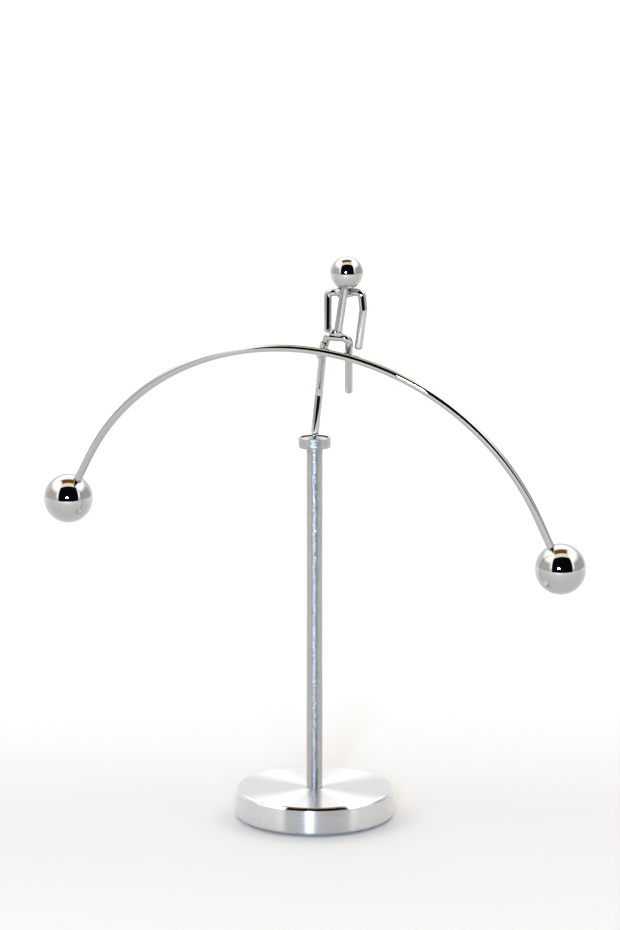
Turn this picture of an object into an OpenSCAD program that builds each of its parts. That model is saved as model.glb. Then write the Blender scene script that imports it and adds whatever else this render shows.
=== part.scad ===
// Counterweight balancing toy: a wire figure that stands on one foot on top of a post.
// A long arched wire with a ball on each end hangs the figure's weight below its foot.
// Millimetres, +Z up. The origin is the middle of the base's underside.
// The arc's ends point along X, and the figure faces -Y.

/* [Base] */
// Diameter of the base disc
base_d = 60; // [50:1:90]
// Thickness of the base disc
base_h = 10.5; // [9:0.5:16]
// Bevel on the base's top edge
base_top_bevel = 1; // [0.4:0.1:2]
// Bevel on the base's bottom edge
base_low_bevel = 1; // [0.4:0.1:2]
// Diameter of the non-slip pad under the base
pad_d = 50; // [36:1:54]
// Thickness of the pad
pad_h = 1.6; // [1.2:0.1:2.4]
// How far the pad stands out below the base
pad_proud = 0.8; // [0.4:0.1:1]

/* [Post] */
// Diameter of the post
post_d = 6; // [5.5:0.5:9]
// Length of post between the base and the collar
post_reach = 130.5; // [90:0.5:180]
// How deep the post sits in the base
post_socket = 4.5; // [3:0.5:5]
// Bevel on the post's lower end, at the mouth of its socket
post_mouth_bevel = 0.4; // [0.2:0.1:0.8]
// Thread diameter of the screw that holds the post
screw_d = 3; // [2:0.5:3]
// Length of the screw under its head
screw_l = 8; // [6:1:12]
// Diameter of the screw's head
screw_head_d = 5.5; // [5:0.5:6.5]
// Height of the screw's head
screw_head_h = 1.8; // [1.4:0.1:2.2]
// Diameter of the screw's washer
washer_d = 7; // [6.5:0.5:9]
// Thickness of the washer
washer_h = 0.5; // [0.3:0.1:0.8]

/* [Collar and pivot] */
// Diameter of the collar
collar_d = 12; // [11:0.5:18]
// Height of the collar
collar_h = 4; // [3.6:0.1:8]
// Bevel on the collar's edges
collar_bevel = 0.3; // [0.1:0.1:0.6]
// Width of the flat rim round the collar's recess
rim_w = 0.8; // [0.5:0.1:1.4]
// Depth of the recess below the rim
recess_depth = 0.4; // [0.2:0.05:0.8]
// Diameter of the hard seat in the middle of the recess
seat_d = 5; // [4:0.25:5.25]
// Thickness of the seat
seat_h = 1.4; // [1:0.1:1.8]
// Depth of the seat's dimple
dimple_depth = 0.15; // [0.1:0.05:0.3]
// Diameter of the foot's ball end
foot_d = 2; // [1.6:0.1:2.2]
// Height of the leg's end above the middle of the foot's ball
foot_lip = 0.35; // [0.25:0.05:0.5]
// Wall of the leg's end round the foot's ball
foot_wall = 0.2; // [0.1:0.05:0.3]
// Length of the taper on the leg's end
foot_taper = 1.3; // [0.6:0.1:3]

/* [Balance arc] */
// Diameter of every wire
wire_d = 3; // [2.8:0.1:3.6]
// Bend radius of the arc
arc_r = 97.5; // [80:0.5:130]
// Half of the angle that the arc bends through, in degrees
arc_half_angle = 64.5; // [50:0.25:80]
// Straight wire from the end of the bend to the middle of a weight
arc_tail = 21.25; // [12:0.25:30]
// How far the arc's top is left of the foot
arc_left = 0.6; // [0:0.1:3]
// Diameter of the weights
weight_d = 19; // [16:0.5:24]
// How far the wire reaches into a weight
weight_grip = 7; // [4:0.5:9]
// Bevel at the mouth of a ball's hole
hole_bevel = 0.25; // [0.1:0.05:0.5]

/* [Legs] */
// Standing leg from the foot to the knee
shin_l = 17; // [15:0.5:20]
// Slant of the shin to the right of upright, in degrees
shin_slant = -1.1; // [-4:0.1:4]
// Slant of the shin to the back of upright, in degrees
shin_back = 22.8; // [18:0.1:26]
// Standing leg from the knee to its bend below the hip
thigh_l = 20.6; // [18:0.1:24]
// Slant of the thigh to the right of upright, in degrees
thigh_slant = 10.9; // [6:0.1:16]
// Slant of the thigh to the front of upright, in degrees
thigh_front = 21; // [16:0.1:24]
// Standing leg from that bend to the hip
hip_reach = 8.8; // [8.4:0.1:12]
// Slant of that stretch to the right of upright, in degrees
hip_slant = 18.8; // [12:0.1:24]
// Distance down the standing leg from the hip to the arc
arc_at = 5.4; // [5:0.1:5.8]
// Width of the hip, from the middle of one leg to the other
hip_w = 8.2; // [8:0.1:14]
// Rise of the hip to the right, in degrees
hip_rise = 2.8; // [0:0.1:6]
// Raised leg from the hip to its end
raised_leg_l = 26.6; // [18:0.1:30]
// Slant of the raised leg to the left on its way down, in degrees
raised_leg_slant = 5.2; // [0:0.1:8]
// Slant of the raised leg to the back on its way down, in degrees
raised_leg_back = 17.9; // [17.5:0.1:24]
// Bend radius at the middle of the wire at the hip and the shoulders
tight_bend_r = 2; // [1.9:0.1:2.4]
// Bend radius at the middle of the wire at the knee and the elbow
slack_bend_r = 6; // [4:0.5:10]
// Rounding of a wire's free end
wire_end_r = 1; // [0.4:0.1:1.2]

/* [Body and arms] */
// Distance along the hip from the standing leg to the torso
torso_at = 3.8; // [3.5:0.1:4.8]
// Torso from the hip to the middle of the head
torso_l = 23.9; // [23:0.1:34]
// Slant of the torso to the right of upright, in degrees
torso_slant = 3.8; // [0:0.1:8]
// Slant of the torso to the back of upright, in degrees
torso_back = 15; // [8:0.5:20]
// Diameter of the head
head_d = 12; // [10:0.5:16]
// How far the torso reaches into the head
head_grip = 5; // [3:0.5:7]
// Distance along the torso from the hip to the shoulders
shoulder_at = 16.5; // [14:0.1:16.8]
// Rise of the shoulders to the right, in degrees
shoulder_rise = 6.9; // [0:0.1:10]
// Shoulder from the torso to the left arm
left_shoulder_w = 7.1; // [6:0.1:10]
// Left arm from the shoulder to its end
left_arm_l = 14.8; // [10:0.1:15]
// Slant of the left arm to the right on its way down, in degrees
left_arm_slant = 6.1; // [0:0.1:8]
// Slant of the left arm to the front on its way down, in degrees
left_arm_front = 18.6; // [10:0.1:20]
// Shoulder from the torso to the right arm
right_shoulder_w = 5.8; // [5.6:0.1:9]
// Right arm from the shoulder to the elbow
upper_arm_l = 6.7; // [5:0.1:10]
// Slant of the upper arm to the right on its way down, in degrees
upper_arm_slant = 10.9; // [8:0.1:14]
// Right arm from the elbow to its end
forearm_l = 14.6; // [10:0.1:18]
// Slant of the forearm to the left on its way down, in degrees
forearm_slant = 2.9; // [0:0.1:4]
// Slant of the right arm to the front on its way down, in degrees
right_arm_front = 14.5; // [10:0.1:18]

/* [Braze] */
// Radius of a bead between two crossed wires
cross_bead_r = 1.9; // [1.7:0.1:2.4]
// Radius of a smaller bead beside a joint
small_bead_r = 1.1; // [0.8:0.05:1.3]
// Distance of the smaller bead from its joint
small_bead_step = 2.4; // [1.8:0.1:2.6]
// How far the bead at the shoulders sits below their crossing
bead_drop = 0.45; // [0.4:0.05:0.8]

/* [Fits] */
// Radial clearance of a piece that is fixed in a hole
fixed_clearance = 0.02; // [0.01:0.01:0.05]
// Clearance of a piece that turns in another
running_clearance = 0.05; // [0.02:0.01:0.08]
// Clearance of the pad in its recess
pad_clearance = 0.2; // [0.1:0.1:0.5]
// Gap that the braze fills between two wires
braze_gap = 0.1; // [0.05:0.01:0.15]

/* [Hidden] */
wire_fn = 64;
arc_fn = 360;
$fn = wire_fn;

// How far a cutting shape passes the face that it cuts
over = 1;
aluminium = "#C9CBCE";
chrome = "#D9DCE0";
steel = "#9EA2A8";
pad_black = "#2B2B2D";

// Heights on the stand
base_z = pad_proud;
base_top_z = base_z + base_h;
pad_recess = pad_h - pad_proud;
socket_z = base_top_z - post_socket;
screw_seat_z = base_z + pad_recess + screw_head_h + washer_h;
collar_z = base_top_z + post_reach;
collar_top_z = collar_z + collar_h;
seat_top_z = collar_top_z - recess_depth;
seat_z = seat_top_z - seat_h;
spigot_top_z = seat_z - running_clearance;
foot_r = foot_d / 2;
dimple_r = foot_r + running_clearance;
pivot_z = seat_top_z + dimple_r - dimple_depth;

// The leg's end cups the foot's ball
cup_r = foot_r + running_clearance;
foot_end_r = sqrt(cup_r ^ 2 - foot_lip ^ 2) + foot_wall;

wire_r = wire_d / 2;
cross_step = wire_d + braze_gap;
// A bend is a hair fuller than the straight wire, which reaches a little way into it
bend_swell = wire_d / 150;
bend_lap = wire_d / 30;
bend_wire_r = wire_r + bend_swell;

// Directions in the figure's own frame, where x is right, y is back and z is up
function aimed(right, back) = [sin(right) * cos(back), sin(back), cos(right) * cos(back)];
function raised(angle) = [cos(angle), 0, sin(angle)];
function unit(v) = v / norm(v);

// The standing leg, the hip and the raised leg, from the middle of the foot
hip_dir = raised(hip_rise);
hip_reach_dir = aimed(hip_slant, -thigh_front);
knee = shin_l * aimed(shin_slant, shin_back);
thigh_bend = knee + thigh_l * aimed(thigh_slant, -thigh_front);
hip = thigh_bend + hip_reach * hip_reach_dir;
hip_end = hip + hip_w * hip_dir;
raised_foot = hip_end - raised_leg_l * aimed(raised_leg_slant, -raised_leg_back);

// The torso, and the arms one wire behind it
torso_foot = hip + torso_at * hip_dir;
torso_dir = aimed(torso_slant, torso_back);
torso_start = wire_r * (1 + abs(hip_dir * torso_dir)) + braze_gap;
head_mid = torso_foot + torso_l * torso_dir;
neck = head_mid - head_d / 2 * torso_dir;
chest = torso_foot + shoulder_at * torso_dir;
shoulder_dir = raised(shoulder_rise);
body_back = unit(cross(torso_dir, shoulder_dir));
body_left = cross(torso_dir, body_back);
arms_mid = chest + cross_step * body_back;
left_shoulder = arms_mid - left_shoulder_w * shoulder_dir;
left_hand = left_shoulder - left_arm_l * aimed(-left_arm_slant, left_arm_front);
right_shoulder = arms_mid + right_shoulder_w * shoulder_dir;
elbow = right_shoulder - upper_arm_l * aimed(-upper_arm_slant, right_arm_front);
right_hand = elbow - forearm_l * aimed(forearm_slant, right_arm_front);

leg_path = [[0, 0, 0], knee, thigh_bend, hip, hip_end, raised_foot];
leg_bends = [0, slack_bend_r, slack_bend_r, tight_bend_r, tight_bend_r, 0];
arm_path = [left_hand, left_shoulder, right_shoulder, elbow, right_hand];
arm_bends = [0, tight_bend_r, tight_bend_r, slack_bend_r, 0];

// Where the arc lies on the front of the standing leg
leg_cross = hip - arc_at * hip_reach_dir;
leg_front = unit(cross([1, 0, 0], hip_reach_dir));
arc_touch = leg_cross + cross_step * leg_front;

// The arc's points in its own upright plane, as [right, up]
arc_y = arc_touch[1];
arc_top = arc_touch[2] + arc_r - sqrt(arc_r ^ 2 - (arc_touch[0] + arc_left) ^ 2);
arc_mid = [-arc_left, arc_top - arc_r];
arc_bend_end = arc_r * [sin(arc_half_angle), cos(arc_half_angle)];
arc_tail_dir = [cos(arc_half_angle), -sin(arc_half_angle)];
weight_out = arc_bend_end + arc_tail * arc_tail_dir;
wire_tail_l = arc_tail - weight_d / 2 + weight_grip;
function on_arc(p) = [p[0], arc_y, p[1]];

// Lengths and turns along a bent wire
function run_dir(path, i) = unit(path[i + 1] - path[i]);
function turn(path, i) = let (a = run_dir(path, i - 1), b = run_dir(path, i)) atan2(norm(cross(a, b)), a * b);
function has_bend(path, i) = i > 0 && i < len(path) - 1;
function trim(path, bends, i) = has_bend(path, i) ? bends[i] * tan(turn(path, i) / 2) : 0;
function run_start(path, bends, i) = path[i] + trim(path, bends, i) * run_dir(path, i);
function run_end(path, bends, i) = path[i + 1] - trim(path, bends, i + 1) * run_dir(path, i);
function bend_in(path, i) = let (a = run_dir(path, i - 1), b = run_dir(path, i)) unit(b - (a * b) * a);
function bend_mid(path, bends, i) = run_end(path, bends, i - 1) + bends[i] * bend_in(path, i);

// Weights as [volume, volume times place], so that they can be added up
wire_area = PI * wire_r ^ 2;
function lump(volume, place) = [volume, volume * place];
function run_lumps(path, bends) = [
    for (i = [0 : len(path) - 2])
        let (a = run_start(path, bends, i), b = run_end(path, bends, i))
            lump(wire_area * norm(b - a), (a + b) / 2)
];
function bend_lumps(path, bends) = [
    for (i = [1 : len(path) - 2])
        let (a = run_end(path, bends, i - 1), b = run_start(path, bends, i))
            lump(wire_area * bends[i] * turn(path, i) * PI / 180, (a + b + path[i]) / 3)
];
function ball_lump(d, place) = lump(PI / 6 * d ^ 3, place);
function total(list, i = 0) = i < len(list) ? list[i] + total(list, i + 1) : lump(0, [0, 0, 0]);

arc_angle_rad = arc_half_angle * PI / 180;
arc_chord_mid = arc_mid + [0, arc_r * sin(arc_half_angle) / arc_angle_rad];
tail_open_l = arc_tail - weight_d / 2;
tail_mid = arc_bend_end + tail_open_l / 2 * arc_tail_dir;
function two_sides(p) = [for (side = [-1, 1]) arc_mid + [side * p[0], p[1]]];
torso_open_l = torso_l - torso_start - head_d / 2;
torso_mid = torso_foot + (torso_start + torso_open_l / 2) * torso_dir;

moving_lumps = concat(
    run_lumps(leg_path, leg_bends),
    bend_lumps(leg_path, leg_bends),
    run_lumps(arm_path, arm_bends),
    bend_lumps(arm_path, arm_bends),
    [lump(wire_area * torso_open_l, torso_mid), ball_lump(head_d, head_mid)],
    [lump(2 * wire_area * arc_r * arc_angle_rad, on_arc(arc_chord_mid))],
    [for (p = two_sides(tail_mid)) lump(wire_area * tail_open_l, on_arc(p))],
    [for (p = two_sides(weight_out)) ball_lump(weight_d, on_arc(p))]
);
moving_sum = total(moving_lumps);
balance_point = moving_sum[1] / moving_sum[0];

// The figure comes to rest with its balance point straight below its foot
roll = atan2(balance_point[0], -balance_point[2]);
lean = atan2(-balance_point[1], norm([balance_point[0], balance_point[2]]));
echo(pivot_z = pivot_z, roll = roll, lean = lean, balance_point = balance_point);

// Puts the figure's own frame on the stand, hanging at rest
module at_rest() {
    translate([0, 0, pivot_z]) rotate([lean, 0, 0]) rotate([0, roll, 0]) children();
}

// Stands a shape drawn in the XY plane upright in the figure's frame, at depth y
module upright(y = 0) {
    translate([0, y, 0]) rotate([90, 0, 0]) children();
}

// Turns a shape that stands along +Z so that it runs from the point p towards dir
module laid_along(p, dir) {
    translate(p) rotate([0, acos(dir[2] / norm(dir)), atan2(dir[1], dir[0])]) children();
}

// A straight wire from a to b
module wire_run(a, b) {
    laid_along(a, b - a) cylinder(d = wire_d, h = norm(b - a));
}

// A straight wire from a to b, with its end at b rounded
module wire_end_run(a, b) {
    l = norm(b - a);
    core_r = wire_r - wire_end_r;
    laid_along(a, b - a)
        rotate_extrude()
            union() {
                square([wire_r, l - wire_end_r]);
                square([core_r, l]);
                translate([core_r, l - wire_end_r])
                    intersection() {
                        circle(r = wire_end_r);
                        square(wire_end_r);
                    }
            }
}

// A straight wire from a to b, with its end at a tapered and cupped for the foot's ball
module wire_foot_run(a, b) {
    l = norm(b - a);
    laid_along(a, b - a)
        difference() {
            rotate_extrude()
                polygon([
                    [0, foot_lip], [foot_end_r, foot_lip], [wire_r, foot_lip + foot_taper], [wire_r, l], [0, l]
                ]);
            sphere(r = cup_r);
        }
}

// One bend of a wire
module wire_bend(path, bends, i) {
    x = -bend_in(path, i);
    y = run_dir(path, i - 1);
    z = cross(x, y);
    mid = bend_mid(path, bends, i);
    multmatrix([
        [x[0], y[0], z[0], mid[0]],
        [x[1], y[1], z[1], mid[1]],
        [x[2], y[2], z[2], mid[2]],
        [0, 0, 0, 1]
    ])
        rotate_extrude(angle = turn(path, i))
            translate([bends[i], 0])
                circle(r = bend_wire_r);
}

// A wire bent along a path. Its last end is rounded, and its first end is rounded or is the foot's.
module bent_wire(path, bends, starts_at_foot) {
    last = len(path) - 2;
    for (i = [0 : last]) {
        dir = run_dir(path, i);
        a = run_start(path, bends, i) - (i > 0 ? bend_lap : 0) * dir;
        b = run_end(path, bends, i) + (i < last ? bend_lap : 0) * dir;
        if (i == 0 && starts_at_foot) wire_foot_run(a, b);
        else if (i == 0) wire_end_run(b, a);
        else if (i == last) wire_end_run(a, b);
        else wire_run(a, b);
    }
    for (i = [1 : last]) wire_bend(path, bends, i);
}

// A disc with a bevel on its top and its bottom edge
module bevelled_disc(d, h, top_bevel, low_bevel) {
    r = d / 2;
    rotate_extrude()
        polygon([
            [0, 0], [r - low_bevel, 0], [r, low_bevel],
            [r, h - top_bevel], [r - top_bevel, h], [0, h]
        ]);
}

module base_disc() {
    color(aluminium)
        difference() {
            translate([0, 0, base_z]) bevelled_disc(base_d, base_h, base_top_bevel, base_low_bevel);
            translate([0, 0, base_z - over])
                cylinder(d = pad_d + 2 * pad_clearance, h = pad_recess + over);
            translate([0, 0, base_z]) cylinder(d = washer_d + 2 * pad_clearance, h = screw_seat_z - base_z);
            cylinder(d = screw_d + 2 * pad_clearance, h = base_top_z);
            translate([0, 0, socket_z])
                cylinder(d = post_d + 2 * fixed_clearance, h = post_socket + over);
            translate([0, 0, base_top_z - post_mouth_bevel])
                cylinder(d1 = post_d, d2 = post_d + 2 * (post_mouth_bevel + over), h = post_mouth_bevel + over);
        }
}

module base_pad() {
    color(pad_black) cylinder(d = pad_d, h = pad_h);
}

module post() {
    spigot_h = spigot_top_z - collar_z;
    tapped_h = screw_l - (socket_z - screw_seat_z) + over;
    color(aluminium)
        difference() {
            union() {
                translate([0, 0, socket_z]) cylinder(d = post_d, h = collar_z - socket_z);
                translate([0, 0, collar_z]) cylinder(d = seat_d, h = spigot_h);
            }
            translate([0, 0, socket_z - over])
                cylinder(d = screw_d + 2 * fixed_clearance, h = tapped_h + over);
        }
}

module post_screw() {
    slot_w = screw_head_d / 6;
    slot_depth = screw_head_h / 2;
    head_z = screw_seat_z - washer_h - screw_head_h;
    color(steel)
        difference() {
            union() {
                translate([0, 0, head_z]) cylinder(d = screw_head_d, h = screw_head_h);
                translate([0, 0, head_z]) cylinder(d = screw_d, h = screw_head_h + washer_h + screw_l);
            }
            translate([-screw_head_d, -slot_w / 2, head_z - over])
                cube([2 * screw_head_d, slot_w, slot_depth + over]);
        }
}

module screw_washer() {
    color(steel)
        translate([0, 0, screw_seat_z - washer_h])
            difference() {
                cylinder(d = washer_d, h = washer_h);
                translate([0, 0, -over])
                    cylinder(d = screw_d + 2 * pad_clearance, h = washer_h + 2 * over);
            }
}

module collar() {
    color(aluminium)
        difference() {
            translate([0, 0, collar_z]) bevelled_disc(collar_d, collar_h, collar_bevel, collar_bevel);
            translate([0, 0, collar_z - over])
                cylinder(d = seat_d + 2 * fixed_clearance, h = spigot_top_z - collar_z + over);
            translate([0, 0, spigot_top_z]) cylinder(d = seat_d + 2 * running_clearance, h = collar_h);
            translate([0, 0, seat_top_z]) cylinder(d = collar_d - 2 * rim_w, h = collar_h);
        }
}

module pivot_seat() {
    color(steel)
        difference() {
            translate([0, 0, seat_z]) cylinder(d = seat_d, h = seat_h);
            translate([0, 0, pivot_z]) sphere(r = dimple_r);
        }
}

module foot_point() {
    color(chrome) translate([0, 0, pivot_z]) sphere(d = foot_d);
}

module leg_wire() {
    bent_wire(leg_path, leg_bends, true);
}

module legs() {
    color(chrome) at_rest() leg_wire();
}

module torso_wire() {
    wire_run(torso_foot + torso_start * torso_dir, neck + head_grip * torso_dir);
}

module torso() {
    color(chrome) at_rest() torso_wire();
}

module arm_wire() {
    bent_wire(arm_path, arm_bends, false);
}

module arms() {
    color(chrome) at_rest() arm_wire();
}

// A ball with a blind hole for a wire that comes in along dir
module drilled_ball(d, mid, dir, grip) {
    hole_r = wire_r + fixed_clearance;
    mouth_z = sqrt((d / 2) ^ 2 - (hole_r + hole_bevel) ^ 2);
    laid_along(mid, -dir)
        difference() {
            sphere(d = d);
            translate([0, 0, d / 2 - grip - fixed_clearance]) cylinder(r = hole_r, h = grip + over);
            translate([0, 0, mouth_z - hole_bevel])
                cylinder(r1 = hole_r, r2 = hole_r + hole_bevel + over, h = hole_bevel + over);
        }
}

module head() {
    color(chrome) at_rest() drilled_ball(head_d, head_mid, torso_dir, head_grip);
}

module arc_wire() {
    upright(arc_y)
        translate([arc_mid[0], arc_mid[1], 0])
            rotate([0, 0, 90 - arc_half_angle])
                rotate_extrude(angle = 2 * arc_half_angle, $fn = arc_fn)
                    translate([arc_r, 0])
                        circle(r = bend_wire_r, $fn = wire_fn);
    for (side = [-1, 1]) {
        start = on_arc(arc_mid + [side * arc_bend_end[0], arc_bend_end[1]]);
        dir = [side * arc_tail_dir[0], 0, arc_tail_dir[1]];
        wire_run(start - bend_lap * dir, start + wire_tail_l * dir);
    }
}

module balance_arc() {
    color(chrome) at_rest() arc_wire();
}

module weight(side) {
    mid = on_arc(arc_mid + [side * weight_out[0], weight_out[1]]);
    dir = [side * arc_tail_dir[0], 0, arc_tail_dir[1]];
    color(chrome) at_rest() drilled_ball(weight_d, mid, dir, weight_grip);
}

module left_weight() {
    weight(-1);
}

module right_weight() {
    weight(1);
}

// A braze bead at a point of the figure's frame
module bead(p, r) {
    translate(p) upright() sphere(r = r);
}

module arc_braze() {
    color(chrome)
        at_rest()
            difference() {
                union() {
                    bead(leg_cross + cross_step / 2 * leg_front, cross_bead_r);
                    bead(leg_cross - small_bead_step * hip_reach_dir + wire_r / 2 * leg_front, small_bead_r);
                }
                leg_wire();
                arc_wire();
            }
}

module hip_braze() {
    color(chrome)
        at_rest()
            difference() {
                translate(torso_foot + wire_r * torso_dir) sphere(r = cross_bead_r);
                leg_wire();
                torso_wire();
            }
}

module shoulder_braze() {
    color(chrome)
        at_rest()
            difference() {
                union() {
                    bead(chest - bead_drop * torso_dir + cross_step / 2 * body_back, cross_bead_r);
                    bead(arms_mid - small_bead_step * shoulder_dir - wire_r / 2 * body_back, small_bead_r);
                }
                torso_wire();
                arm_wire();
            }
}

module neck_braze() {
    color(chrome)
        at_rest()
            difference() {
                laid_along(neck + wire_r * body_left, body_back) sphere(r = small_bead_r);
                torso_wire();
                bead(head_mid, head_d / 2);
            }
}

base_disc();
base_pad();
post();
post_screw();
screw_washer();
collar();
pivot_seat();
foot_point();
legs();
torso();
arms();
head();
balance_arc();
left_weight();
right_weight();
arc_braze();
hip_braze();
shoulder_braze();
neck_braze();
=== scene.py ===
"""Looks of a counterweight balancing toy: a chromed wire figure on a turned aluminium stand.

Lengths are metres, +Z is up, and the figure is seen from -Y.
"""
import math
import random

import bmesh
import bpy
from bpy.props import FloatProperty, FloatVectorProperty, IntProperty, PointerProperty
from mathutils import Matrix, Vector, noise


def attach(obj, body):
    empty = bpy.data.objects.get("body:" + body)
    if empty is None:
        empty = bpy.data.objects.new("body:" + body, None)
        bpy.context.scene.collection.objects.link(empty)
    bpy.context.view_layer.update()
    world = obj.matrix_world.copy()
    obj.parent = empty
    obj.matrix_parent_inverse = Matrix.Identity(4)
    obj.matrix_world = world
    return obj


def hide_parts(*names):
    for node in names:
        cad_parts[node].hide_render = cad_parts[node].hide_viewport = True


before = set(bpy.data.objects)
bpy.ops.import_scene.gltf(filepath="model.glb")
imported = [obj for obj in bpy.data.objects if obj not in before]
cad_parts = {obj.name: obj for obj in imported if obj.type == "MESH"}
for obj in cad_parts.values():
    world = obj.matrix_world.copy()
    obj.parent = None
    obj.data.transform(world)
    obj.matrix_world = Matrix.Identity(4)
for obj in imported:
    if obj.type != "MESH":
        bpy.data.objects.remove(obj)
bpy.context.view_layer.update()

bl_info = {
    "name": "Balancing Toy Looks",
    "version": (1, 0, 0),
    "blender": (4, 5, 0),
    "location": "View3D > Sidebar > Toy",
    "description": "Dresses a wire balancing toy and sets its studio",
    "category": "Object",
}

MM = 0.001

# The picture's height in pixels, and the width of the camera's sensor in millimetres
IMAGE_HEIGHT = 930
SENSOR = 36.0

# Fineness of the meshes: counts round a piece and along a curve, and degrees from point to point of a bend
TURNED_SIDES = 192
WIRE_SIDES = 48
BALL_SIDES = 128
BALL_RINGS = 96
ARC_STEPS = 160
CAP_STEPS = 10
CUP_STEPS = 6
BEND_STEP = 2.5
FILLET_STEP = 15.0
STRAIGHT = math.radians(0.2)
SHARP_ANGLE = math.radians(32)
POINT_RADIUS = 1e-7

# Braze: shares of a bead that its blobs take, and its mesh and swelling in millimetres
CORE_SHARE = 0.9
BRIDGE_PARTS = (0.3, 0.5, 0.7)
LUMP_COUNT = 4
LUMP_SHARES = (0.5, 0.7)
LUMP_OUT = 0.5
BLOB_FINENESS = 4
BRAZE_VOXEL = 0.09
BRAZE_SOFTENING = 0.5
BRAZE_PASSES = 24
BRAZE_SWELL = 0.25

# Shading: the range that most values of a noise fall in, and the sockets of a Mix node for colours
NOISE_LOW = 0.3
NOISE_HIGH = 0.7
QUARTER_TURN = 0.25
MIX_A = 6
MIX_B = 7
MIX_RESULT = 2

# Brightness of the room's surfaces, which is light and not paint
WALL = (0.98, 0.975, 0.97, 1)
LEFT_WALL = (0.7, 0.69, 0.68, 1)
RIGHT_WALL = (0.62, 0.605, 0.59, 1)
CEILING = (2.4, 2.39, 2.37, 1)
LIT_EDGE = (1.75, 1.74, 1.72, 1)
WARM_GLOW = (1.5, 1.35, 1.08, 1)
WOOD = (0.25, 0.12, 0.03, 1)
DARK = (0.004, 0.004, 0.006, 1)
BACKDROP = (1.05, 1.05, 1.05, 1)


def linear(hex_colour):
    """The linear colour of an sRGB hex value."""
    parts = [int(hex_colour[i:i + 2], 16) / 255 for i in (1, 3, 5)]
    return tuple(p / 12.92 if p <= 0.04045 else ((p + 0.055) / 1.055) ** 2.4 for p in parts)


def length(name, millimetres, description):
    """A size in metres that a user may change."""
    return FloatProperty(name=name, description=description, default=millimetres * MM, unit="LENGTH",
                         precision=5)


def angle(name, degrees, description):
    """An angle that a user may change."""
    return FloatProperty(name=name, description=description, default=math.radians(degrees), subtype="ANGLE")


def colour(name, hex_colour, description):
    """A colour that a user may change."""
    return FloatVectorProperty(name=name, description=description, default=linear(hex_colour),
                               subtype="COLOR", min=0.0, max=1.0)


def number(name, value, description):
    """A plain number that a user may change."""
    return FloatProperty(name=name, description=description, default=value)


class ToyStandSizes(bpy.types.PropertyGroup):
    """Sizes and colours of the turned stand."""

    base_d: length("Base", 60, "Diameter of the base disc")
    base_h: length("Base height", 10.5, "Thickness of the base disc")
    base_bevel: length("Base bevel", 1, "Bevel on the base's top and bottom edges")
    pad_d: length("Pad", 50, "Diameter of the non-slip pad")
    pad_h: length("Pad height", 1.6, "Thickness of the pad")
    pad_proud: length("Pad proud", 0.8, "How far the pad stands out below the base")
    pad_room: length("Pad clearance", 0.2, "Clearance round the pad, the washer and the screw")
    post_d: length("Post", 6, "Diameter of the post")
    post_reach: length("Post reach", 130.5, "Length of post between the base and the collar")
    post_socket: length("Post socket", 4.5, "How deep the post sits in the base")
    mouth_bevel: length("Socket bevel", 0.4, "Bevel at the mouth of the post's socket")
    screw_d: length("Screw", 3, "Diameter of the screw that holds the post")
    screw_l: length("Screw length", 8, "Length of the screw under its head")
    screw_head_h: length("Screw head", 1.8, "Height of the screw's head")
    washer_d: length("Washer", 7, "Diameter of the screw's washer")
    washer_h: length("Washer height", 0.5, "Thickness of the washer")
    collar_d: length("Collar", 12, "Diameter of the collar")
    collar_h: length("Collar height", 4, "Height of the collar")
    collar_bevel: length("Collar bevel", 0.3, "Bevel on the collar's edges")
    rim_w: length("Rim", 0.8, "Width of the rim round the collar's recess")
    recess: length("Recess", 0.4, "Depth of the collar's recess")
    seat_d: length("Seat", 5, "Diameter of the hard seat")
    seat_h: length("Seat height", 1.4, "Thickness of the seat")
    dimple: length("Dimple", 0.15, "Depth of the seat's dimple")
    fillet: length("Edge break", 0.12, "Rounding that takes the sharpness off a turned edge")
    fixed_room: length("Fixed fit", 0.02, "Radial clearance of a piece that is fixed in a hole")
    turning_room: length("Running fit", 0.05, "Clearance of a piece that turns in another")
    tool_mark: length("Tool mark", 0.45, "Spacing of the lathe's marks, drawn coarser than 0.1 mm to show")
    base_colour: colour("Base metal", "#DFE0E1", "Colour of the base's turned aluminium")
    # The bore colour is painted shade: it darkens the wall of the collar's recess into a dark line
    bore_shade_colour: colour("Bore metal", "#4A4A4C", "Colour of the dulled wall of the collar's recess")
    post_colour: colour("Post metal", "#BFBFBE", "Colour of the post's satin aluminium")
    pad_colour: colour("Pad rubber", "#1C1C1E", "Colour of the pad's rubber")


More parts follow.
